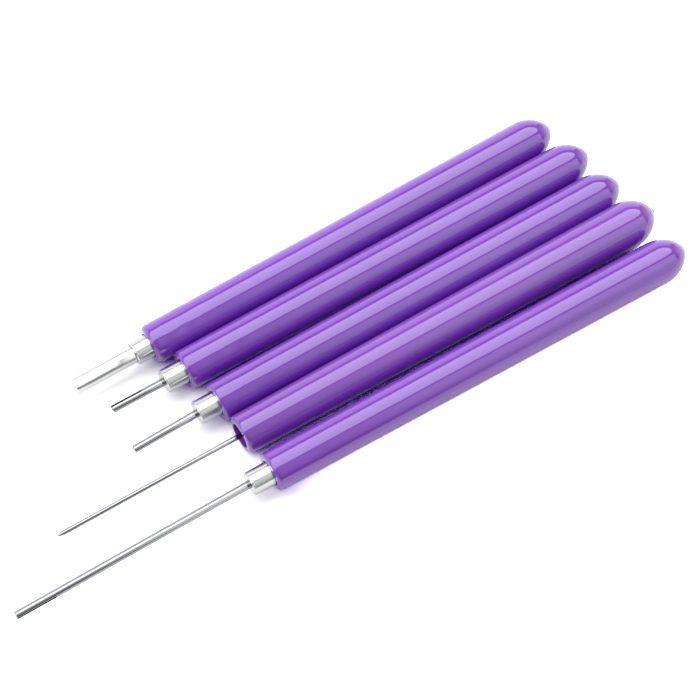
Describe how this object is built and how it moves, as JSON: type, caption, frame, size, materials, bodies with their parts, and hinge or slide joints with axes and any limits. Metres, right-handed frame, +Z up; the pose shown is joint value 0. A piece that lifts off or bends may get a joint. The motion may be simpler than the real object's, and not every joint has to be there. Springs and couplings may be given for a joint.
{
  "type": "quilling tool set",
  "caption": "Row of slim paper quilling tools: tapered glossy handles with rounded rear ends, turned metal ferrules, and steel needles, slotted or pointed.",
  "frame": {"origin": "middle of the row of tools, on the surface that the handles lie on", "axes": "+X from the needle tips to the rounded rear ends, +Y from the front tool to the back one, +Z up"},
  "size_m": [0.1503, 0.0478, 0.0096],
  "materials": {
    "handle_plastic": "gloss",
    "turned_aluminium": "turned, satin",
    "polished_steel": "polished"
  },
  "bodies": {
    "broad_slot_tool": {"broad_slot_handle": "handle_plastic", "broad_slot_ferrule": "turned_aluminium", "broad_slot_needle": "polished_steel"},
    "short_slot_tool": {"short_slot_handle": "handle_plastic", "short_slot_ferrule": "turned_aluminium", "short_slot_needle": "polished_steel"},
    "medium_slot_tool": {"medium_slot_handle": "handle_plastic", "medium_slot_ferrule": "turned_aluminium", "medium_slot_needle": "polished_steel"},
    "awl_tool": {"awl_handle": "handle_plastic", "awl_ferrule": "turned_aluminium", "awl_needle": "polished_steel"},
    "long_slot_tool": {"long_slot_handle": "handle_plastic", "long_slot_ferrule": "turned_aluminium", "long_slot_needle": "polished_steel"}
  },
  "joints": [
    {"name": "broad_slot_lift", "type": "slide", "parent": "medium_slot_tool", "child": "broad_slot_tool", "axis": [0, 0, 1], "range_m": [0, 0.04]},
    {"name": "short_slot_lift", "type": "slide", "parent": "medium_slot_tool", "child": "short_slot_tool", "axis": [0, 0, 1], "range_m": [0, 0.04]},
    {"name": "awl_lift", "type": "slide", "parent": "medium_slot_tool", "child": "awl_tool", "axis": [0, 0, 1], "range_m": [0, 0.04]},
    {"name": "long_slot_lift", "type": "slide", "parent": "medium_slot_tool", "child": "long_slot_tool", "axis": [0, 0, 1], "range_m": [0, 0.04]}
  ]
}
